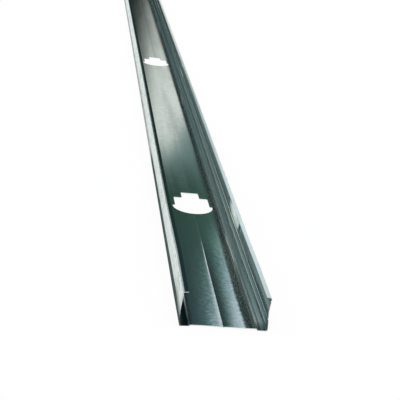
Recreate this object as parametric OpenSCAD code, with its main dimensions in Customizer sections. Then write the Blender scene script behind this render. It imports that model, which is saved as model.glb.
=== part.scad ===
// Roll-formed C-section stud for drywall partitions.
// One piece of galvanised strip, lying on its web with the open side up.
// X runs across the web, Y along the stud and Z up the flanges.
// The origin is at the middle of the length, on the plane that the web rests on.

/* [Stud] */
// Length of the stud
stud_l = 2438; // [1000:1:6000]
// Width over the outer faces of the two flanges
web_w = 63.5; // [60:0.5:155]
// Height over the web and the lips
flange_h = 27; // [22:0.5:60]
// Width of each lip from the outer face of its flange
lip_w = 4.2; // [3.5:0.1:12]
// Thickness of the galvanised strip
sheet_t = 0.5; // [0.4:0.05:1.2]
// Inside radius of the four long bends
bend_r = 1.2; // [0.6:0.1:2]

/* [Web] */
// Width of the low strip beside each flange
strip_w = 6.4; // [5:0.1:9]
// How far the middle of the web stands above the low strips
web_rise = 1; // [1:0.1:2.5]
// Width of the slope between a low strip and the raised web
slope_w = 1; // [0.8:0.1:3]
// Width of the V bead along the middle of the web
bead_w = 2.2; // [1.8:0.1:6]
// Depth of the V bead
bead_d = 0.3; // [0.2:0.1:0.9]

/* [Flange grooves] */
// Height of the lower groove above the resting plane
groove_z = 10; // [8:0.5:12]
// Flat left between the lip's bend and the upper groove
groove_gap = 0.5; // [0.3:0.1:2]
// Width of each groove
groove_w = 1.6; // [1.4:0.1:3]
// Depth of each groove
groove_d = 0.35; // [0.1:0.05:0.4]

/* [Service holes] */
// Distance from the lead end to the widest line of the first hole
hole_first = 243.5; // [60:0.5:600]
// Spacing of the holes along the stud
hole_pitch = 610; // [150:1:1220]
// Least distance from the last hole's widest line to the tail end
hole_end = 100; // [60:1:600]
// Width of the round side, which is also the widest part of the hole
hole_w = 38; // [20:0.5:42]
// Length of the straight sides beside the round side
hole_side_l = 1.5; // [1.3:0.1:4]
// Width of the middle part of the hole
hole_mid_w = 33; // [14:0.5:34]
// Length of the middle part of the hole
hole_mid_l = 21.5; // [6:0.5:30]
// Width of the notch at the far side of the hole
hole_notch_w = 17; // [6:0.5:28]
// Length of the notch
hole_notch_l = 14; // [3:0.5:20]
// Radius of the punch's corners
hole_corner_r = 1.2; // [0.4:0.1:1.3]

/* [Hidden] */

ZINC = [0.62, 0.68, 0.68];
BEND_STEPS = 6;
KINK_STEPS = 2;
CORNER_STEPS = 4;
ROUND_FN = 96;
// How far a cutting shape runs past the faces that it cuts
PAST = 1;
// Inside radius of the small bends of the slopes, the bead and the grooves
kink_r = 0.3;

// Radii of the middle line of the strip
bend_mid_r = bend_r + sheet_t / 2;
kink_mid_r = kink_r + sheet_t / 2;

half_w = web_w / 2;
// Place of the strip's middle line in the flange, in the lip and in the web
flange_x = half_w - sheet_t / 2;
lip_z = flange_h - sheet_t / 2;
strip_z = sheet_t / 2;
raised_z = strip_z + web_rise;
groove_high_z = flange_h - sheet_t - bend_r - groove_gap - groove_w / 2;
hole_count = floor((stud_l - hole_first - hole_end) / hole_pitch) + 1;

function unit(v) = v / norm(v);
function left_of(v) = [-v.y, v.x];

// Points of the arc of radius r that rounds the corner b between a and c
function round_corner(a, b, c, r, steps) =
    let (to_a = unit(a - b),
         to_c = unit(c - b),
         half = acos(to_a * to_c) / 2,
         centre = b + unit(to_a + to_c) * r / sin(half),
         start = b + to_a * r / tan(half) - centre,
         end = b + to_c * r / tan(half) - centre,
         sweep = 180 - 2 * half)
    [for (i = [0 : steps])
        centre + (start * sin(sweep * (1 - i / steps)) + end * sin(sweep * i / steps)) / sin(sweep)];

// The corners are [x, y, radius, steps], and the first and last keep their place
function round_path(corners) =
    let (last = len(corners) - 1,
         at = [for (c = corners) [c[0], c[1]]])
    concat([at[0]],
           [for (i = [1 : last - 1])
               each round_corner(at[i - 1], at[i], at[i + 1], corners[i][2], corners[i][3])],
           [at[last]]);

// A point moved sideways off an open path by d, mitred where the path turns
function beside(path, i, d) =
    let (last = len(path) - 1,
         before = left_of(unit(path[max(i, 1)] - path[max(i, 1) - 1])),
         after = left_of(unit(path[min(i, last - 1) + 1] - path[min(i, last - 1)])),
         mitre = unit(before + after))
    path[i] + mitre * d / (mitre * before);

// Closed outline of a strip of thickness t whose middle line is the path
function strip_outline(path, t) =
    let (last = len(path) - 1)
    concat([for (i = [0 : last]) beside(path, i, t / 2)],
           [for (i = [last : -1 : 0]) beside(path, i, -t / 2)]);

// A groove pressed inwards into the right flange at height z
function groove_corners(z) = [
    [flange_x, z + groove_w / 2, kink_mid_r, KINK_STEPS],
    [flange_x - groove_d, z, kink_mid_r, KINK_STEPS],
    [flange_x, z - groove_w / 2, kink_mid_r, KINK_STEPS]];

// Corners of the right half of the section, from the lip's edge down to the bead
half_corners = concat(
    [[half_w - lip_w, lip_z, 0, 0],
     [flange_x, lip_z, bend_mid_r, BEND_STEPS]],
    groove_corners(groove_high_z),
    groove_corners(groove_z),
    [[flange_x, strip_z, bend_mid_r, BEND_STEPS],
     [half_w - strip_w, strip_z, kink_mid_r, KINK_STEPS],
     [half_w - strip_w - slope_w, raised_z, kink_mid_r, KINK_STEPS],
     [bead_w / 2, raised_z, kink_mid_r, KINK_STEPS]]);

function mirrored(corners) =
    [for (i = [len(corners) - 1 : -1 : 0])
        [-corners[i][0], corners[i][1], corners[i][2], corners[i][3]]];

section_corners = concat(
    half_corners,
    [[0, raised_z - bead_d, kink_mid_r, KINK_STEPS]],
    mirrored(half_corners));

// Corners of one side of the hole's stepped part, from its widest line outwards
step_corners = [
    [hole_w / 2, 0, 0, 0],
    [hole_w / 2, hole_side_l, hole_corner_r, CORNER_STEPS],
    [hole_mid_w / 2, hole_side_l, hole_corner_r, CORNER_STEPS],
    [hole_mid_w / 2, hole_side_l + hole_mid_l, hole_corner_r, CORNER_STEPS],
    [hole_notch_w / 2, hole_side_l + hole_mid_l, hole_corner_r, CORNER_STEPS],
    [hole_notch_w / 2, hole_side_l + hole_mid_l + hole_notch_l, hole_corner_r, CORNER_STEPS]];

module formed_strip() {
    rotate([90, 0, 0])
        linear_extrude(height = stud_l, center = true)
            polygon(strip_outline(round_path(section_corners), sheet_t));
}

// The punch for one hole, with the middle of its round side at the origin
module service_punch() {
    punch_h = raised_z + sheet_t + 2 * PAST;
    translate([0, 0, -PAST]) {
        intersection() {
            cylinder(h = punch_h, d = hole_w, $fn = ROUND_FN);
            translate([-hole_w, -hole_w, 0])
                cube([2 * hole_w, hole_w, punch_h]);
        }
        linear_extrude(height = punch_h)
            polygon(round_path(concat(step_corners, mirrored(step_corners))));
    }
}

module stud() {
    color(ZINC)
        difference() {
            formed_strip();
            for (i = [0 : hole_count - 1])
                translate([0, hole_first + i * hole_pitch - stud_l / 2, 0])
                    service_punch();
        }
}

stud();
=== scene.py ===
"""A roll-formed partition stud of galvanised strip, lying on its web with the open side up."""

import math

import bpy
from mathutils import Matrix, Vector, geometry, noise


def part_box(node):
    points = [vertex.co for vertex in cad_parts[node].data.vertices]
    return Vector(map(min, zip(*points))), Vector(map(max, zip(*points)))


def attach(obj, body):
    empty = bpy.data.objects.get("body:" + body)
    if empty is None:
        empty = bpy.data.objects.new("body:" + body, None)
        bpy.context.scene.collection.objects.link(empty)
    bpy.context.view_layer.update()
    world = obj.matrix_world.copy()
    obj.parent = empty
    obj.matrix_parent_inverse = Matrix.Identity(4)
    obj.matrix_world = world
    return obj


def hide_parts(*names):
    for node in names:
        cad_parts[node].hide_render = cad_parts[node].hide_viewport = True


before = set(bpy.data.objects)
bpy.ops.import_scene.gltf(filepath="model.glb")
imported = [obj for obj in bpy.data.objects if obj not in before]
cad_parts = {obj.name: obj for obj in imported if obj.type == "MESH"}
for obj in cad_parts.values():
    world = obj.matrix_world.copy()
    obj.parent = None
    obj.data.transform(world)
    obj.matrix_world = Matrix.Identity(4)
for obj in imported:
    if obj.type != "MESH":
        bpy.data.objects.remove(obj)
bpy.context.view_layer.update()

MM = 0.001
low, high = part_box("stud")
HALF_WIDTH = high.x
HEIGHT = high.z
LEAD_END = low.y
TAIL_END = high.y

# The strip and its bends
SHEET = 0.5 * MM
BEND_R = 1.2 * MM
KINK_R = 0.3 * MM
LIP_W = 4.2 * MM
STRIP_W = 6.4 * MM
SLOPE_W = 1.0 * MM
WEB_RISE = 1.0 * MM
BEAD_W = 2.2 * MM
BEAD_D = 0.3 * MM
GROOVE_Z = 10 * MM
GROOVE_GAP = 0.5 * MM
GROOVE_W = 1.6 * MM
GROOVE_D = 0.35 * MM

# The service holes
HOLE_FIRST = 243.5 * MM
HOLE_PITCH = 610 * MM
HOLE_COUNT = 4
HOLE_W = 38 * MM
HOLE_SIDE_L = 1.5 * MM
HOLE_MID_W = 33 * MM
HOLE_MID_L = 21.5 * MM
HOLE_NOTCH_W = 17 * MM
HOLE_NOTCH_L = 14 * MM
HOLE_CORNER_R = 1.2 * MM

# Places from the lead end between which the bead fades
FADE_START = 95 * MM
FADE_END = 165 * MM

# How finely the strip's mesh is cut
BEND_STEPS = 8
KINK_STEPS = 3
CORNER_STEPS = 4
ROUND_STEPS = 48
FLAT_STEP = 2.5 * MM
LENGTH_STEP = 10 * MM
# Stretches, in millimetres from the lead end, where the rings stand closer
FINE_STEP = 2.5 * MM
FINE_STRETCHES = [(0, 50), (140, 240)]
# Width of the part of the web whose grid gives way to a patch round each hole
PATCH_W = 46 * MM


# ---------------------------------------------------------------- the strip's shape

def ease(value, start, end):
    """A number that rises smoothly from 0 to 1 while the value goes from start to end."""
    share = min(1, max(0, (value - start) / (end - start)))
    return share * share * (3 - 2 * share)


def rounded(before, corner, after, radius, steps):
    """Points of the arc that rounds a corner between two straight runs."""
    to_before = (before - corner).normalized()
    to_after = (after - corner).normalized()
    half = math.acos(to_before.dot(to_after)) / 2
    centre = corner + (to_before + to_after).normalized() * (radius / math.sin(half))
    start = corner + to_before * (radius / math.tan(half)) - centre
    end = corner + to_after * (radius / math.tan(half)) - centre
    sweep = math.pi - 2 * half
    shares = [i / steps for i in range(steps + 1)]
    return [centre + (start * math.sin(sweep * (1 - t)) + end * math.sin(sweep * t)) / math.sin(sweep)
            for t in shares]


def rounded_path(corners):
    """The corners are (x, y, radius, steps), and the first and last keep their place."""
    at = [Vector((x, y)) for x, y, _, _ in corners]
    path = [at[0]]
    for i in range(1, len(corners) - 1):
        path += rounded(at[i - 1], at[i], at[i + 1], corners[i][2], corners[i][3])
    path.append(at[-1])
    return path


def groove_corners(flange_x, height, kink_r):
    return [
        (flange_x, height + GROOVE_W / 2, kink_r, KINK_STEPS),
        (flange_x - GROOVE_D, height, kink_r, KINK_STEPS),
        (flange_x, height - GROOVE_W / 2, kink_r, KINK_STEPS),
    ]


def mirrored(corners):
    return [(-x, y, r, steps) for x, y, r, steps in reversed(corners)]


def section_path(bead_w, bead_d, bead_r):
    """Middle line of the strip, from the right lip's edge round to the left lip's edge."""
    bend_r = BEND_R + SHEET / 2
    kink_r = KINK_R + SHEET / 2
    flange_x = HALF_WIDTH - SHEET / 2
    lip_z = HEIGHT - SHEET / 2
    strip_z = SHEET / 2
    raised_z = strip_z + WEB_RISE
    groove_high = HEIGHT - SHEET - BEND_R - GROOVE_GAP - GROOVE_W / 2
    half = [
        (HALF_WIDTH - LIP_W, lip_z, 0, 0),
        (flange_x, lip_z, bend_r, BEND_STEPS),
        *groove_corners(flange_x, groove_high, kink_r),
        *groove_corners(flange_x, GROOVE_Z, kink_r),
        (flange_x, strip_z, bend_r, BEND_STEPS),
        (HALF_WIDTH - STRIP_W, strip_z, kink_r, KINK_STEPS),
        (HALF_WIDTH - STRIP_W - SLOPE_W, raised_z, kink_r, KINK_STEPS),
        (bead_w / 2, raised_z, bead_r, KINK_STEPS),
    ]
    bead = [(0, raised_z - bead_d, bead_r, KINK_STEPS)]
    return rounded_path(half + bead + mirrored(half))


def runs_between(path, step):
    """Into how many runs each side of the path is cut, so that none is longer than the step."""
    return [max(1, math.ceil((b - a).length / step)) for a, b in zip(path, path[1:])]


def divided(path, runs):
    fine = [path[0]]
    for a, b, count in zip(path, path[1:], runs):
        fine += [a.lerp(b, i / count) for i in range(1, count + 1)]
    return fine


def sideways(path):
    """For each point, the mitred vector that reaches a line one unit to the path's left."""
    def left(a, b):
        along = (b - a).normalized()
        return Vector((-along.y, along.x))
    sides = [left(a, b) for a, b in zip(path, path[1:])]
    sides = [sides[0]] + sides + [sides[-1]]
    mitres = [(a + b).normalized() for a, b in zip(sides, sides[1:])]
    return [mitre / mitre.dot(side) for mitre, side in zip(mitres, sides)]


def stations():
    """Places along the stud where the strip's mesh has a ring."""
    count = round((TAIL_END - LEAD_END) / LENGTH_STEP)
    places = [LEAD_END + (TAIL_END - LEAD_END) * i / count for i in range(count + 1)]
    fine = [places[0]]
    for a, b in zip(places, places[1:]):
        middle = ((a + b) / 2 - LEAD_END) / MM
        near = any(first < middle < last for first, last in FINE_STRETCHES)
        parts = round(LENGTH_STEP / FINE_STEP) if near else 1
        fine += [a + (b - a) * i / parts for i in range(1, parts + 1)]
    return fine


# ---------------------------------------------------------------- the service holes

def punch_outline():
    """Outline of one hole in millimetres, half round at the lead side and stepped at the tail side."""
    half = HOLE_W / 2
    step = HOLE_SIDE_L + HOLE_MID_L
    side = [
        (half, 0, 0, 0),
        (half, HOLE_SIDE_L, HOLE_CORNER_R, CORNER_STEPS),
        (HOLE_MID_W / 2, HOLE_SIDE_L, HOLE_CORNER_R, CORNER_STEPS),
        (HOLE_MID_W / 2, step, HOLE_CORNER_R, CORNER_STEPS),
        (HOLE_NOTCH_W / 2, step, HOLE_CORNER_R, CORNER_STEPS),
        (HOLE_NOTCH_W / 2, step + HOLE_NOTCH_L, HOLE_CORNER_R, CORNER_STEPS),
    ]
    stepped = rounded_path(side + mirrored(side))
    angles = [math.pi * (1 + i / ROUND_STEPS) for i in range(1, ROUND_STEPS)]
    half_round = [Vector((half * math.cos(a), half * math.sin(a))) for a in angles]
    return [p / MM for p in stepped + half_round]


def inside(outline, x, y):
    """Whether a point lies inside a closed outline, by counting the sides that it passes."""
    hit = False
    for a, b in zip(outline, outline[1:] + outline[:1]):
        if (a.y > y) != (b.y > y) and x < a.x + (y - a.y) * (b.x - a.x) / (b.y - a.y):
            hit = not hit
    return hit


def patch_round_hole(columns, rows, outline):
    """Triangles between the web's grid and one hole, in millimetres from the hole's middle.

    The grid's own points come first, row by row. For each point of the patch the last list
    gives the grid point that it is, or None where the patch adds one.
    """
    points = [Vector((x, y)) for y in rows for x in columns]
    n = len(columns)
    edges = [(j * n + i, (j + 1) * n + i) for j in range(len(rows) - 1) for i in range(n)]
    edges += [(j * n + i, j * n + i + 1) for j in (0, len(rows) - 1) for i in range(n - 1)]
    rim = list(range(len(points), len(points) + len(outline)))
    edges += list(zip(rim, rim[1:] + rim[:1]))
    made, _, faces, origins, _, _ = geometry.delaunay_2d_cdt(points + outline, edges, [], 0, 1e-5)

    def in_hole(face):
        x, y = (sum(made[v][k] for v in face) / len(face) for k in (0, 1))
        return inside(outline, x, y)

    kept = [face for face in faces if not in_hole(face)]
    own = [next((v for v in origin if v < len(points)), None) for origin in origins]
    return made, kept, own


# ---------------------------------------------------------------- the strip's mesh

def between(path, offsets, x):
    """The place and the sideways vector on the web's part of the path at one x."""
    for (a, a_side), (b, b_side) in zip(zip(path, offsets), zip(path[1:], offsets[1:])):
        if b.x <= x <= a.x:
            share = (a.x - x) / (a.x - b.x)
            return a.lerp(b, share), a_side.lerp(b_side, share)
    raise ValueError("no part of the web lies at that x")


def strip_mesh():
    """The punched strip: an outer and an inner skin, and the cut edges that join them."""
    path = section_path(BEAD_W, BEAD_D, KINK_R + SHEET / 2)
    flat_path = section_path(BEAD_W / 8, BEAD_D / 60, KINK_R / 10)
    runs = runs_between(path, FLAT_STEP)
    path, flat_path = divided(path, runs), divided(flat_path, runs)
    offsets = sideways(path)
    flat_offsets = sideways(flat_path)
    rings = stations()
    points = []

    def add_pair(p, offset, y):
        """The outer skin's point at one place, and the inner skin's just after it."""
        for side in (SHEET / 2, -SHEET / 2):
            q = p + offset * side
            points.append((q.x, y, q.y))
        return len(points) - 2

    def add_ring(y):
        share = ease(y - LEAD_END, FADE_START, FADE_END)
        ring = [p.lerp(flat, share) for p, flat in zip(path, flat_path)]
        ring_offsets = [side.lerp(flat, share) for side, flat in zip(offsets, flat_offsets)]
        return [add_pair(p, side, y) for p, side in zip(ring, ring_offsets)]

    grid = [add_ring(y) for y in rings]
    web = [i for i, p in enumerate(path) if abs(p.x) < PATCH_W / 2 and p.y < HEIGHT / 2]
    web_path, web_offsets = [flat_path[i] for i in web], [flat_offsets[i] for i in web]
    outline = punch_outline()
    heights = [p.y for p in outline]
    reach = [min(heights) - LENGTH_STEP / MM, max(heights) + LENGTH_STEP / MM]
    outer = []
    patched = set()
    for k in range(HOLE_COUNT):
        y0 = LEAD_END + HOLE_FIRST + k * HOLE_PITCH
        js = [j for j, y in enumerate(rings) if reach[0] < (y - y0) / MM < reach[1]]
        patched.update((j, i) for j in js[:-1] for i in web[:-1])
        columns = [p.x / MM for p in web_path]
        rows = [(rings[j] - y0) / MM for j in js]
        made, kept, own = patch_round_hole(columns, rows, outline)
        at = []
        for v, source in zip(made, own):
            if source is None:
                at.append(add_pair(*between(web_path, web_offsets, v.x * MM), y0 + v.y * MM))
            else:
                row, column = divmod(source, len(columns))
                at.append(grid[js[row]][web[column]])
        outer += [tuple(at[v] for v in reversed(face)) for face in kept]
    for j in range(len(rings) - 1):
        for i in range(len(path) - 1):
            if (j, i) not in patched:
                outer.append((grid[j][i], grid[j][i + 1], grid[j + 1][i + 1], grid[j + 1][i]))

    inner = [tuple(v + 1 for v in reversed(face)) for face in outer]
    sides = {side for face in outer for side in zip(face, face[1:] + face[:1])}
    cut_edges = [(b, a, a + 1, b + 1) for a, b in sides if (b, a) not in sides]
    mesh = bpy.data.meshes.new("stud_strip")
    mesh.from_pydata([bent(p) for p in points], [], outer + inner + sorted(cut_edges))
    skins = len(outer) + len(inner)
    for face in mesh.polygons[skins:]:
        face.material_index = 1
    place = mesh.attributes.new("true_place", "FLOAT_VECTOR", "POINT")
    place.data.foreach_set("vector", [number for p in points for number in p])
    outside = mesh.attributes.new("outside", "FLOAT", "POINT")
    outside.data.foreach_set("value", [1.0 - i % 2 for i in range(len(points))])
    mesh.update()
    return mesh


# ---------------------------------------------------------------- how the strip has bent

# Height and width of the crown that each half of the web took from the rolls
LEFT_CROWN = 0.19 * MM
LEFT_CROWN_W = 23.2 * MM
RIGHT_CROWN = 0.15 * MM
RIGHT_CROWN_W = 21 * MM
# How far the web turns up again beside its right slope, and how wide that part is
EDGE_RISE = 0.2 * MM
EDGE_W = 8.5 * MM
# Share of the crown that is left past the first hole
CROWN_LEFT = 0.06
# Places from the lead end between which the left and the right crown sink
LEFT_CROWN_FADE = (15 * MM, 150 * MM)
RIGHT_CROWN_FADE = (60 * MM, 200 * MM)
# How far the left strip has lifted where it meets its slope
STRIP_LIFT = 0.33 * MM
# Slope of each lip, rising towards its free edge
LIP_SLOPE = 0.11
# Height of the long waves in the web and in the flanges
WEB_WAVE = 0.04 * MM
FLANGE_WAVE = 0.12 * MM
# The dent in the right flange, in millimetres from the lead end and above the floor
DENT = 2.0
DENT_START = 153
DENT_END = 235
DENT_LOW = 11
DENT_HIGH = 20
DENT_TOP = 26.5
# Length over which the dent sets in, how much that slants up the flange, and the length of its end
DENT_RAMP = 18
DENT_SLANT = 0.4
DENT_TAIL = 45
# The left flange in millimetres: its top out at the lead end and in further on, its bulge,
# and how far its foot was crushed in
LEFT_TOP_OUT = 0.5
LEFT_TOP_IN = 0.85
LEFT_BULGE = 1.0
LEFT_CRUSH = 1.1
# The right flange in millimetres: its foot out and its top in at the lead end, and its fold,
# which starts at this share of the height
RIGHT_FOOT_OUT = 1.0
RIGHT_TOP_IN = 0.5
RIGHT_FOLD = 0.4
FOLD_START = 0.31


def early_hump(share):
    """A hump that is 1 high a third of the way along, and 0 at both ends."""
    return 6.75 * share * (1 - share) ** 2


def left_lean(u, h):
    """How far the left flange stands out, u millimetres from the lead end at a share h of its height."""
    drawn_in = LEFT_TOP_IN * ease(u, 60, 200) * (1 - 0.7 * ease(u, 280, 680))
    top = LEFT_TOP_OUT * (1 - ease(u, 0, 70)) - drawn_in
    bulge = LEFT_BULGE * (1 - ease(u, 0, 60)) * early_hump(h)
    crushed = LEFT_CRUSH * (1 - h) ** 6
    return (top * h + bulge - crushed) * MM


def right_lean(u, h):
    """The same for the right flange, which has turned outwards at its foot and folded in a little above."""
    near = 1 - ease(u, 0, 150)
    fold = RIGHT_FOLD * max(0, (h - FOLD_START) / (1 - FOLD_START))
    z = h * HEIGHT / MM
    rise = min(1, max(0, (z - DENT_LOW) / (DENT_HIGH - DENT_LOW)))
    reach = rise * (1 - ease(z, DENT_HIGH, DENT_TOP))
    start = ease(u + DENT_SLANT * (z - DENT_LOW), DENT_START, DENT_START + DENT_RAMP)
    dent = DENT * reach * start * (1 - ease(u, DENT_END - DENT_TAIL, DENT_END))
    return (near * (RIGHT_FOOT_OUT * (1 - h) - RIGHT_TOP_IN * h) - fold + dent) * MM


def web_lift(x, y):
    """How far the web stands above its true height."""
    d = abs(x)
    from_lead = y - LEAD_END
    foot, step, raised = HALF_WIDTH - BEND_R, HALF_WIDTH - STRIP_W, HALF_WIDTH - STRIP_W - SLOPE_W
    lift = 0
    if x < 0:
        lift += STRIP_LIFT * (1 - ease(d, step, foot)) * ease(d, raised, step)
    if x > 0 and d > raised - EDGE_W:
        lift += EDGE_RISE * ((min(d, raised) - raised + EDGE_W) / EDGE_W) ** 2 * (1 - ease(d, raised, step))
    if d < raised:
        width = LEFT_CROWN_W if x < 0 else RIGHT_CROWN_W
        fade = LEFT_CROWN_FADE if x < 0 else RIGHT_CROWN_FADE
        crown_left = 1 - ease(from_lead, *fade) * (1 - CROWN_LEFT)
        across = min(1, max(0, (d - BEAD_W / 2) / width))
        if x < 0:
            lift += LEFT_CROWN * crown_left * 4 * across * (1 - across)
        else:
            lift += RIGHT_CROWN * crown_left * early_hump(across)
        wave = noise.noise(Vector((x / (18 * MM), y / (70 * MM), 3)))
        lift += WEB_WAVE * wave * (1 - (d / raised) ** 2)
    return lift


def bent(p):
    """Where a point of the true section lies on this stud."""
    x, y, z = p
    if z < HEIGHT / 2:
        z += web_lift(x, y)
    else:
        z += LIP_SLOPE * max(0, HALF_WIDTH - abs(x) - BEND_R)
    lean = left_lean if x < 0 else right_lean
    hold = 1 if z > HEIGHT / 2 else ease(abs(x), HALF_WIDTH - STRIP_W, HALF_WIDTH - BEND_R)
    h = min(1, z / HEIGHT)
    out = lean((y - LEAD_END) / MM, h)
    out += FLANGE_WAVE * h * noise.noise(Vector((y / (60 * MM), z / (15 * MM), 7 if x < 0 else 11)))
    x += math.copysign(hold * out, x)
    return x, y, z


def new_object(name, mesh):
    obj = bpy.data.objects.new(name, mesh)
    bpy.context.scene.collection.objects.link(obj)
    return obj


# ---------------------------------------------------------------- studio

LENS = 90.587
# The camera's place from the lead end's left corner, in metres
CAMERA_PLACE = (-0.08884, -0.64231, 0.3298)
# How far the camera looks down, turns to the right and rolls, in radians
PITCH, YAW, ROLL = 0.34458, 0.142192, 0.128075


def look_camera():
    camera = bpy.data.cameras.new("camera")
    camera.sensor_width = 36
    camera.lens = LENS
    camera.clip_start = 0.01
    camera.clip_end = 100
    obj = new_object("camera", camera)
    level = math.cos(PITCH)
    forward = Vector((math.sin(YAW) * level, math.cos(YAW) * level, -math.sin(PITCH)))
    right = forward.cross(Vector((0, 0, 1))).normalized()
    up = right.cross(forward)
    rolled_right = math.cos(ROLL) * right + math.sin(ROLL) * up
    rolled_up = -math.sin(ROLL) * right + math.cos(ROLL) * up
    turn = Matrix((rolled_right, rolled_up, -forward)).transposed().to_4x4()
    x, y, z = CAMERA_PLACE
    place = Vector((x - HALF_WIDTH, LEAD_END + y, z))
    obj.matrix_world = Matrix.Translation(place) @ turn
    bpy.context.scene.camera = obj


# Half the floor's side, in metres, and the shares of white and of sheen that it takes
FLOOR_HALF = 30
FLOOR_WHITE = 0.93
FLOOR_SHEEN = 0.4


def white_floor():
    far = FLOOR_HALF
    corners = [(-far, -far, 0), (far, -far, 0), (far, far, 0), (-far, far, 0)]
    mesh = bpy.data.meshes.new("floor")
    mesh.from_pydata(corners, [], [(0, 1, 2, 3)])
    floor = new_object("floor", mesh)
    material = bpy.data.materials.new("floor_white")
    material.use_nodes = True
    tree = material.node_tree
    tree.nodes.clear()
    link = tree.links.new
    out = tree.nodes.new("ShaderNodeOutputMaterial")
    matte = tree.nodes.new("ShaderNodeBsdfDiffuse")
    matte.inputs["Color"].default_value = (0.9, 0.9, 0.9, 1)
    white = tree.nodes.new("ShaderNodeEmission")
    sheen = tree.nodes.new("ShaderNodeEmission")
    sheen.inputs["Color"].default_value = (0.98, 1.08, 1.02, 1)
    path = tree.nodes.new("ShaderNodeLightPath")

    def added(first, second, ray, share):
        """The second shader mixed over the first, for one kind of ray alone."""
        part = tree.nodes.new("ShaderNodeMath")
        part.operation = "MULTIPLY"
        part.inputs[1].default_value = share
        mix = tree.nodes.new("ShaderNodeMixShader")
        link(path.outputs[ray], part.inputs[0])
        link(part.outputs[0], mix.inputs[0])
        link(first, mix.inputs[1])
        link(second.outputs[0], mix.inputs[2])
        return mix.outputs[0]

    seen = added(matte.outputs[0], white, "Is Camera Ray", FLOOR_WHITE)
    seen = added(seen, sheen, "Is Glossy Ray", FLOOR_SHEEN)
    link(seen, out.inputs["Surface"])
    mesh.materials.append(material)


def colour_ramp(tree, fac, stops):
    """A ramp through (place, colour) stops."""
    ramp = tree.nodes.new("ShaderNodeValToRGB")
    ramp.color_ramp.interpolation = "EASE"
    elements = ramp.color_ramp.elements
    while len(elements) < len(stops):
        elements.new(0.5)
    for element, (at, colour) in zip(elements, stops):
        element.position = at
        element.color = (*colour, 1)
    tree.links.new(fac, ramp.inputs["Fac"])
    return ramp.outputs["Color"]


def eased(tree, value, start, end):
    """A number that rises smoothly from 0 to 1 while the value goes from start to end."""
    ease = tree.nodes.new("ShaderNodeMapRange")
    ease.interpolation_type = "SMOOTHSTEP"
    ease.inputs["From Min"].default_value = start
    ease.inputs["From Max"].default_value = end
    tree.links.new(value, ease.inputs["Value"])
    return ease.outputs["Result"]


def blended(tree, share, first, second):
    mix = tree.nodes.new("ShaderNodeMix")
    mix.data_type = "RGBA"
    tree.links.new(share, mix.inputs["Factor"])
    tree.links.new(first, mix.inputs["A"])
    tree.links.new(second, mix.inputs["B"])
    return mix.outputs["Result"]


# The room, as bands of (heading in degrees from +Y towards +X, colour), from low to high
ROOM_SPAN = 60
# Heading past which the pale band's upper edge comes down, over how many degrees of heading
# it does so, and by how many degrees of height
PALE_EDGE = 6
PALE_SPAN = 3
PALE_DROP = 6
PALE = (0.74, 0.77, 0.78)
BRIGHT = (0.94, 0.97, 0.96)
WINDOW = (0.85, 0.97, 0.9)
SKIRT = [
    (-60, BRIGHT),
    (-30, (0.2, 0.3, 0.34)),
    (-9, (0.13, 0.21, 0.23)),
    (-3.5, (0.03, 0.05, 0.045)),
    (3, (0.012, 0.024, 0.02)),
    (5.3, (0.75, 0.8, 0.76)),
    (60, PALE),
]
LOW_BAND = [
    (-60, BRIGHT),
    (-25, (0.3, 0.42, 0.42)),
    (-22, WINDOW),
    (-17, WINDOW),
    (-14, (0.3, 0.42, 0.42)),
    (-7.5, (0.17, 0.26, 0.26)),
    (-3.5, (0.03, 0.05, 0.045)),
    (3, (0.012, 0.024, 0.02)),
    (5.3, (0.8, 0.85, 0.8)),
    (7.2, (0.8, 0.85, 0.81)),
    (8.8, (0.43, 0.5, 0.5)),
    (10.8, (0.5, 0.6, 0.62)),
    (60, PALE),
]
TEAL_BAND = [
    (-60, BRIGHT),
    (-25, (0.3, 0.42, 0.42)),
    (-22, WINDOW),
    (-17, WINDOW),
    (-14, (0.37, 0.52, 0.51)),
    (-8, (0.18, 0.28, 0.28)),
    (-3.5, (0.025, 0.045, 0.04)),
    (3, (0.014, 0.026, 0.022)),
    (5.5, (0.19, 0.3, 0.29)),
    (9, (0.19, 0.3, 0.29)),
    (12, (0.57, 0.68, 0.71)),
    (15.5, (0.84, 0.97, 1.02)),
    (60, PALE),
]
DARK_BAND = [
    (-60, BRIGHT),
    (-24, (0.3, 0.42, 0.42)),
    (-21, (0.6, 0.74, 0.7)),
    (-18, (0.6, 0.74, 0.7)),
    (-15.5, (0.27, 0.4, 0.38)),
    (-13, (0.27, 0.4, 0.38)),
    (-8.5, (0.12, 0.19, 0.19)),
    (-2, (0.018, 0.032, 0.027)),
    (3, (0.022, 0.045, 0.036)),
    (7, (0.034, 0.08, 0.062)),
    (9.2, (0.05, 0.116, 0.09)),
    (9.65, (0.25, 0.42, 0.39)),
    (11.3, (0.4, 0.55, 0.54)),
    (13.5, (0.78, 0.9, 0.95)),
    (20, (0.85, 0.98, 1.02)),
    (60, PALE),
]
# The stops that the two highest bands share
HIGH_STOPS = [
    (-2, (0.022, 0.042, 0.045)),
    (4, (0.018, 0.034, 0.045)),
    (8, (0.04, 0.08, 0.079)),
    (10.1, (0.085, 0.165, 0.16)),
    (10.6, (0.2, 0.32, 0.34)),
    (11.2, (0.31, 0.45, 0.49)),
    (12, (0.54, 0.68, 0.74)),
    (14.5, (0.86, 1.0, 1.05)),
    (60, PALE),
]
HIGH_BAND = [
    (-60, BRIGHT),
    (-20, (0.84, 0.9, 0.9)),
    (-16.5, (0.3, 0.43, 0.44)),
    (-13, (0.2, 0.31, 0.33)),
    (-9.5, (0.11, 0.175, 0.19)),
    *HIGH_STOPS,
]
UPPER_BAND = [
    (-60, BRIGHT),
    (-16, BRIGHT),
    (-11, (0.62, 0.78, 0.76)),
    (-7, (0.1, 0.16, 0.17)),
    *HIGH_STOPS,
]
OVERHEAD = (0.8, 0.82, 0.83)
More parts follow.
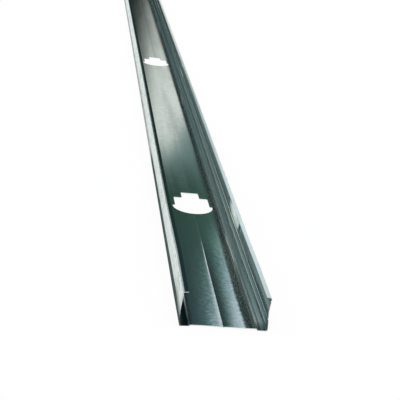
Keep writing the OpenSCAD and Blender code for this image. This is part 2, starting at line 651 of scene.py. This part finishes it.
# Heights in degrees between which each band gives way to the next
SKIRT_TOP = (9.5, 12.5)
LOW_TOP = (15.9, 18.2)
TEAL_TOP = (17.1, 18.8)
DARK_TOP = (21.6, 22.8)
HIGH_TOP = (27.5, 29.5)
UPPER_TOP = (32, 50)


# Side in metres, power in watts and place of the overhead lamp
LAMP_SIDE = 5
LAMP_POWER = 54
LAMP_PLACE = (-0.4, 0, 3)


def overhead_lamp():
    """One large soft lamp, which lights the floor and the dull dirt and painted shade, and doesn't show in
    the metal.
    """
    light = bpy.data.lights.new("overhead", "AREA")
    light.shape = "SQUARE"
    light.size = LAMP_SIDE
    light.energy = LAMP_POWER
    lamp = new_object("overhead", light)
    lamp.location = LAMP_PLACE
    lamp.visible_glossy = False


def studio_world():
    """White for the camera, and for the metal a room of soft tinted bands that it reflects."""
    world = bpy.data.worlds.new("studio")
    bpy.context.scene.world = world
    world.use_nodes = True
    tree = world.node_tree
    tree.nodes.clear()
    link = tree.links.new
    out = tree.nodes.new("ShaderNodeOutputWorld")
    back = tree.nodes.new("ShaderNodeBackground")
    coords = tree.nodes.new("ShaderNodeTexCoord")
    split = tree.nodes.new("ShaderNodeSeparateXYZ")
    link(coords.outputs["Generated"], split.inputs[0])
    heading = tree.nodes.new("ShaderNodeMath")
    heading.operation = "ARCTAN2"
    link(split.outputs["X"], heading.inputs[0])
    link(split.outputs["Y"], heading.inputs[1])
    span = tree.nodes.new("ShaderNodeMapRange")
    span.inputs["From Min"].default_value = math.radians(-ROOM_SPAN)
    span.inputs["From Max"].default_value = math.radians(ROOM_SPAN)
    link(heading.outputs[0], span.inputs["Value"])

    def band(stops):
        return colour_ramp(tree, span.outputs[0], [(0.5 + at / (2 * ROOM_SPAN), c) for at, c in stops])

    def above(start, end, height=split.outputs["Z"]):
        rise = [math.sin(math.radians(angle)) for angle in (start, end)]
        return eased(tree, height, *rise)

    def plain(colour):
        flat = tree.nodes.new("ShaderNodeRGB")
        flat.outputs[0].default_value = (*colour, 1)
        return flat.outputs[0]

    lean = tree.nodes.new("ShaderNodeMapRange")
    lean.inputs["From Min"].default_value = math.radians(PALE_EDGE)
    lean.inputs["From Max"].default_value = math.radians(PALE_EDGE + PALE_SPAN)
    lean.inputs["To Max"].default_value = math.radians(PALE_DROP)
    link(heading.outputs[0], lean.inputs["Value"])
    leaning = tree.nodes.new("ShaderNodeMath")
    link(split.outputs["Z"], leaning.inputs[0])
    link(lean.outputs[0], leaning.inputs[1])
    room = blended(tree, above(*SKIRT_TOP), band(SKIRT), band(LOW_BAND))
    room = blended(tree, above(*LOW_TOP, leaning.outputs[0]), room, band(TEAL_BAND))
    room = blended(tree, above(*TEAL_TOP), room, band(DARK_BAND))
    room = blended(tree, above(*DARK_TOP), room, band(HIGH_BAND))
    room = blended(tree, above(*HIGH_TOP), room, band(UPPER_BAND))
    room = blended(tree, above(*UPPER_TOP), room, plain(OVERHEAD))
    link(room, back.inputs["Color"])
    white = tree.nodes.new("ShaderNodeBackground")
    white.inputs["Color"].default_value = (1, 1, 1, 1)
    path = tree.nodes.new("ShaderNodeLightPath")
    seen = tree.nodes.new("ShaderNodeMixShader")
    link(path.outputs["Is Camera Ray"], seen.inputs[0])
    link(back.outputs[0], seen.inputs[1])
    link(white.outputs[0], seen.inputs[2])
    link(seen.outputs[0], out.inputs["Surface"])
    world.cycles.sampling_method = "NONE"


# ---------------------------------------------------------------- finishes

def new_group(name, inputs, outputs):
    """A shader node group, whose sockets are given as name and kind, and as name, kind and value."""
    tree = bpy.data.node_groups.new(name, "ShaderNodeTree")
    for label, kind, value in inputs:
        socket = tree.interface.new_socket(label, in_out="INPUT", socket_type="NodeSocket" + kind)
        socket.default_value = value
    for label, kind in outputs:
        tree.interface.new_socket(label, in_out="OUTPUT", socket_type="NodeSocket" + kind)
    start = tree.nodes.new("NodeGroupInput")
    end = tree.nodes.new("NodeGroupOutput")
    return tree, start, end


def placed(tree, group, **values):
    made = tree.nodes.new("ShaderNodeGroup")
    made.node_tree = group
    for name, value in values.items():
        made.inputs[name].default_value = value
    return made


def maths(tree, operation, *values):
    """A Math node; each value is a number or a socket."""
    made = tree.nodes.new("ShaderNodeMath")
    made.operation = operation
    for socket, value in zip(made.inputs, values):
        if isinstance(value, (int, float)):
            socket.default_value = value
        else:
            tree.links.new(value, socket)
    return made.outputs[0]


def stretched_noise(tree, stretch, scale, detail=3):
    """Noise over the stud, in periods to the metre, with one stretch for each axis."""
    coords = tree.nodes.new("ShaderNodeTexCoord")
    shape = tree.nodes.new("ShaderNodeVectorMath")
    shape.operation = "MULTIPLY"
    shape.inputs[1].default_value = stretch
    made = tree.nodes.new("ShaderNodeTexNoise")
    made.inputs["Scale"].default_value = scale
    made.inputs["Detail"].default_value = detail
    tree.links.new(coords.outputs["Object"], shape.inputs[0])
    tree.links.new(shape.outputs[0], made.inputs["Vector"])
    return made.outputs["Fac"]


# Periods to the metre of the pits, the roll lines, the clouds and the spangle of the zinc
PIT_SCALE = 420
LINE_SCALE = 150
CLOUD_SCALE = 42
SPANGLE_SCALE = 130


def strip_grain():
    """Height, in millimetres, of the small pits and of the lines that the rolls leave along the strip.

    The pits are deepest towards the lead end, and nearly gone beside the right slope.
    """
    inputs = [("Pits", "Float", 0.024), ("Roll lines", "Float", 0.01)]
    tree, start, end = new_group("strip_grain", inputs, [("Height", "Float"), ("Tone", "Float")])
    pits = stretched_noise(tree, (0.4, 1, 0.4), PIT_SCALE, 2)
    lines = stretched_noise(tree, (1, 0.04, 1), LINE_SCALE)
    place = tree.nodes.new("ShaderNodeAttribute")
    place.attribute_name = "true_place"
    split = tree.nodes.new("ShaderNodeSeparateXYZ")
    tree.links.new(place.outputs["Vector"], split.inputs[0])
    onwards = eased(tree, split.outputs["Y"], LEAD_END + 80 * MM, LEAD_END + 240 * MM)
    depth = maths(tree, "MULTIPLY", start.outputs["Pits"], maths(tree, "MULTIPLY_ADD", onwards, -0.97, 1))
    edge = eased(tree, split.outputs["X"], HALF_WIDTH - 18 * MM, HALF_WIDTH - 13.5 * MM)
    depth = maths(tree, "MULTIPLY", depth, maths(tree, "MULTIPLY_ADD", edge, -0.92, 1))
    pit_height = maths(tree, "MULTIPLY", pits, depth)
    height = maths(tree, "MULTIPLY_ADD", lines, start.outputs["Roll lines"], pit_height)
    tone = maths(tree, "ADD", maths(tree, "MULTIPLY", pits, 0.5), maths(tree, "MULTIPLY", lines, 0.5))
    tree.links.new(height, end.inputs["Height"])
    tree.links.new(tone, end.inputs["Tone"])
    return tree


def zinc_bloom():
    """Colour and roughness of the zinc coat, which has clouds, faint spangle and fine streaks."""
    inputs = [
        ("Light", "Color", (1, 1, 1, 1)),
        ("Dull", "Color", (0.5, 0.5, 0.5, 1)),
        ("Tone", "Float", 0.5),
        ("Smooth", "Float", 0.06),
        ("Rough", "Float", 0.14),
    ]
    tree, start, end = new_group("zinc_bloom", inputs, [("Color", "Color"), ("Roughness", "Float")])
    tone = eased(tree, start.outputs["Tone"], 0.36, 0.64)
    clouds = eased(tree, stretched_noise(tree, (1, 0.07, 1), CLOUD_SCALE, 2), 0.3, 0.7)
    coords = tree.nodes.new("ShaderNodeTexCoord")
    spangle = tree.nodes.new("ShaderNodeTexVoronoi")
    spangle.inputs["Scale"].default_value = SPANGLE_SCALE
    tree.links.new(coords.outputs["Object"], spangle.inputs["Vector"])
    grey = tree.nodes.new("ShaderNodeRGBToBW")
    tree.links.new(spangle.outputs["Color"], grey.inputs[0])
    flecks = maths(tree, "MULTIPLY", grey.outputs[0], 0.1)
    streaks = maths(tree, "MULTIPLY", tone, 0.3)
    share = maths(tree, "MULTIPLY_ADD", clouds, 0.35, maths(tree, "ADD", flecks, streaks))
    share = eased(tree, share, 0, 0.75)
    colour = blended(tree, share, start.outputs["Light"], start.outputs["Dull"])
    span = maths(tree, "SUBTRACT", start.outputs["Rough"], start.outputs["Smooth"])
    tree.links.new(colour, end.inputs["Color"])
    roughness = maths(tree, "MULTIPLY_ADD", share, span, start.outputs["Smooth"])
    tree.links.new(roughness, end.inputs["Roughness"])
    return tree


# Share of painted shade that lies under the lips
UNDER_LIP_SHADE = 0.55
# The same for the dirt flecks outside the flanges, and for the painted shade on the right flange above its
# lower groove
FLECKS = 0.3
UPPER_FLANGE_SHADE = 0.5


def dirt_and_painted_shade():
    """Masks of the painted shade and the dirt together, of their part outside the flanges that is made
    dull, and of a painted highlight on the crest of the lower groove.

    Painted shade lies in the inner bends at the web, along the flanges' feet, under the lips, beside the
    grooves on the right flange's inside, on that flange above its lower groove, and on the left flange and
    in the right inner corner at the lead end. The flecks outside the flanges are dirt.
    """
    outputs = [("Mask", "Float"), ("Dull", "Float"), ("Crest highlight", "Float")]
    tree, start, end = new_group("dirt_and_painted_shade", [("Amount", "Float", 1.0)], outputs)
    place = tree.nodes.new("ShaderNodeAttribute")
    place.attribute_name = "true_place"
    split = tree.nodes.new("ShaderNodeSeparateXYZ")
    tree.links.new(place.outputs["Vector"], split.inputs[0])
    x, y, z = (split.outputs[axis] for axis in "XYZ")
    side = tree.nodes.new("ShaderNodeAttribute")
    side.attribute_name = "outside"
    outside = side.outputs["Fac"]

    def until(value, first, last):
        return maths(tree, "SUBTRACT", 1, eased(tree, value, first, last))

    def product(*values):
        total = values[0]
        for value in values[1:]:
            total = maths(tree, "MULTIPLY", total, value)
        return total

    off_middle = maths(tree, "ABSOLUTE", x)
    in_bend = eased(tree, off_middle, HALF_WIDTH - 1.5 * MM, HALF_WIDTH - 1.0 * MM)
    inner = maths(tree, "SUBTRACT", 1, outside)
    # Painted shade along the inner bend where the web meets each flange
    crease_shade = product(in_bend, until(z, 1.0 * MM, 2.0 * MM), inner)
    # Painted shade on the lips' undersides
    under_lip_shade = product(eased(tree, z, HEIGHT - 1.6 * MM, HEIGHT - 0.7 * MM), inner, UNDER_LIP_SHADE)
    # Painted shade along the flanges' feet outside: the floor's shadow as the metal would reflect it,
    # weaker past the first stretch from the lead end
    foot = product(in_bend, until(z, 6.5 * MM, 9.0 * MM), outside, 1.4)
    onwards = eased(tree, y, LEAD_END + 320 * MM, LEAD_END + 420 * MM)
    foot = product(foot, maths(tree, "MULTIPLY_ADD", onwards, -0.6, 1))
    specks = eased(tree, stretched_noise(tree, (1, 0.35, 1), 260), 0.5, 0.62)
    flecks = product(in_bend, specks, outside, FLECKS)
    # Painted shade on the left flange and strip near the lead end, standing in for the darker reflection
    # that the flange's bulge shows there
    left = eased(tree, maths(tree, "MULTIPLY", x, -1), HALF_WIDTH - 8 * MM, HALF_WIDTH - 7 * MM)
    lead_end_shade = product(left, until(y, LEAD_END + 25 * MM, LEAD_END + 65 * MM), until(z, 5 * MM, 20 * MM))
    right = eased(tree, x, HALF_WIDTH - 8 * MM, HALF_WIDTH - 7 * MM)
    # Painted shade in the right inner corner at the lead end
    at_lead = until(y, LEAD_END + 3 * MM, LEAD_END + 16 * MM)
    corner = product(right, at_lead, until(z, 6 * MM, 16 * MM), inner)
    # Painted shade on the right flange's inside above its lower groove, left out round the dent and on the
    # groove's crest
    upper_flange_shade = product(right, eased(tree, z, GROOVE_Z - 0.8 * MM, GROOVE_Z), inner, UPPER_FLANGE_SHADE)
    from_dent = maths(tree, "ABSOLUTE", maths(tree, "SUBTRACT", y, LEAD_END + 195 * MM))
    upper_flange_shade = product(upper_flange_shade, eased(tree, from_dent, 35 * MM, 55 * MM))

    def off_groove(height):
        return maths(tree, "ABSOLUTE", maths(tree, "SUBTRACT", z, height))

    # Painted shade in thin lines beside each groove on the right flange's inside
    def shade_beside(off):
        clear = eased(tree, off, 0.5 * MM, 0.8 * MM)
        return product(right, clear, until(off, 1.5 * MM, 2.0 * MM), inner, 1.2)

    off_low = off_groove(GROOVE_Z)
    off_high = off_groove(HEIGHT - SHEET - BEND_R - GROOVE_GAP - GROOVE_W / 2)
    low_groove_shade, high_groove_shade = shade_beside(off_low), shade_beside(off_high)
    # A painted highlight on the crest of the lower groove on the right flange's inside
    crest = until(off_low, 0.4 * MM, 0.7 * MM)
    crest_highlight = product(right, crest, inner)
    upper_flange_shade = product(upper_flange_shade, maths(tree, "SUBTRACT", 1, crest))
    dirt_and_shade_sum = crease_shade
    for part in (under_lip_shade, foot, flecks, lead_end_shade, corner, upper_flange_shade, low_groove_shade, high_groove_shade):
        dirt_and_shade_sum = maths(tree, "MAXIMUM", dirt_and_shade_sum, part)
    broken = maths(tree, "MULTIPLY_ADD", stretched_noise(tree, (1, 0.3, 1), 160), 0.9, 0.5)
    mask = product(dirt_and_shade_sum, broken, start.outputs["Amount"])
    mask.node.use_clamp = True
    tree.links.new(mask, end.inputs["Mask"])
    # Its part outside the flanges: painted shade at the feet and at the lead end, and the dirt flecks
    tree.links.new(product(mask, outside), end.inputs["Dull"])
    tree.links.new(crest_highlight, end.inputs["Crest highlight"])
    return tree


# One dark colour for both the dirt flecks and the painted shade
DIRT_AND_SHADE_COLOUR = (0.028, 0.052, 0.055, 1)
# Near white of the painted highlight on the groove's crest
HIGHLIGHT_WHITE = (0.96, 0.98, 0.98, 1)


def strip_finish(name, groups, light, dull, smooth, rough, pits, lines, shade_and_dirt):
    """A finish for the strip: the zinc coat, its grain, its dirt, and the painted shade and painted
    highlight laid over it.
    """
    material = bpy.data.materials.new(name)
    material.use_nodes = True
    tree = material.node_tree
    link = tree.links.new
    shader = tree.nodes["Principled BSDF"]
    grain = placed(tree, groups["grain"], **{"Pits": pits, "Roll lines": lines})
    bloom = placed(tree, groups["bloom"], Light=light, Dull=dull, Smooth=smooth, Rough=rough)
    dirt_and_shade = placed(tree, groups["shade_and_dirt"], Amount=shade_and_dirt)
    link(grain.outputs["Tone"], bloom.inputs["Tone"])
    shaded_or_soiled = tree.nodes.new("ShaderNodeMix")
    shaded_or_soiled.data_type = "RGBA"
    shaded_or_soiled.inputs["B"].default_value = DIRT_AND_SHADE_COLOUR
    link(dirt_and_shade.outputs["Mask"], shaded_or_soiled.inputs["Factor"])
    # The painted highlight goes on first, and the dirt and painted shade over it
    highlighted = tree.nodes.new("ShaderNodeMix")
    highlighted.data_type = "RGBA"
    highlighted.inputs["B"].default_value = HIGHLIGHT_WHITE
    link(dirt_and_shade.outputs["Crest highlight"], highlighted.inputs["Factor"])
    link(bloom.outputs["Color"], highlighted.inputs["A"])
    link(highlighted.outputs["Result"], shaded_or_soiled.inputs["A"])
    link(shaded_or_soiled.outputs["Result"], shader.inputs["Base Color"])
    # Where that part lies, the strip turns non-metallic and rough and stays dark when seen edge-on, which
    # deepens the painted shade at the feet and the lead end
    link(maths(tree, "MULTIPLY_ADD", dirt_and_shade.outputs["Dull"], -1, 1), shader.inputs["Metallic"])
    link(maths(tree, "MULTIPLY_ADD", dirt_and_shade.outputs["Dull"], 0.85, bloom.outputs["Roughness"]),
         shader.inputs["Roughness"])
    bump = tree.nodes.new("ShaderNodeBump")
    bump.inputs["Strength"].default_value = 1
    bump.inputs["Distance"].default_value = MM
    link(grain.outputs["Height"], bump.inputs["Height"])
    link(bump.outputs["Normal"], shader.inputs["Normal"])
    return material


look_camera()
white_floor()
studio_world()
overhead_lamp()

stud = new_object("stud_strip", strip_mesh())
stud.data.materials.clear()
groups = {"grain": strip_grain(), "bloom": zinc_bloom(), "shade_and_dirt": dirt_and_painted_shade()}
stud.data.materials.append(strip_finish(
    "galvanised_zinc", groups, light=(0.7, 0.73, 0.72, 1), dull=(0.56, 0.59, 0.58, 1),
    smooth=0.06, rough=0.13, pits=0.08, lines=0.006, shade_and_dirt=0.9))
stud.data.materials.append(strip_finish(
    "sheared_edge", groups, light=(0.78, 0.79, 0.79, 1), dull=(0.6, 0.61, 0.61, 1),
    smooth=0.28, rough=0.42, pits=0.03, lines=0.0, shade_and_dirt=0.3))
stud.data.shade_smooth()
stud.data.set_sharp_from_angle(angle=math.radians(30))
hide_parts("stud")
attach(stud, "root")

bpy.context.scene.view_settings.view_transform = "Standard"
